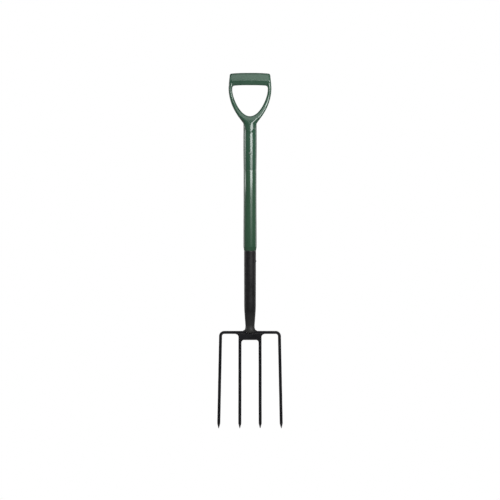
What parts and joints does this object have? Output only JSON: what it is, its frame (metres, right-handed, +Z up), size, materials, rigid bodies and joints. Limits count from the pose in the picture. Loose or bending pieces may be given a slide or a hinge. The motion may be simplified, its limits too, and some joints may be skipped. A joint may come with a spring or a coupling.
{
  "type": "digging fork",
  "caption": "Garden digging fork with a green plastic D handle, a green sleeved steel shaft, a tapered black socket and a square-shouldered head with long straight steel tines.",
  "frame": {"origin": "the middle of the flat land on the underside of the grip, where a hook or peg carries the fork", "axes": "+Z up along the shaft towards the grip, +X across the tines to the side with the socket rivet, -Y out of the front, the side that the tines curve towards"},
  "size_m": [0.186, 0.0389, 1.01],
  "materials": {
    "handle_plastic": "satin moulded polypropylene with a fine texture",
    "sleeve_plastic": "smooth satin extruded sleeve",
    "socket_paint": "semi-matt black coating over tube",
    "head_paint": "semi-matt black coating over forged bar",
    "green_rivet_paint": "painted rivet head",
    "bare_steel": "drawn steel"
  },
  "bodies": {
    "root": {"d_handle": "handle_plastic", "grip_cover": "handle_plastic", "shaft_sleeve": "sleeve_plastic", "core_tube": "bare_steel", "fork_socket": "socket_paint", "outer_tine_bar": "head_paint", "inner_tine_yoke": "head_paint", "handle_rivet": "green_rivet_paint", "handle_rivet_mandrel": "bare_steel", "socket_rivet": "socket_paint", "socket_rivet_mandrel": "bare_steel"}
  },
  "joints": []
}
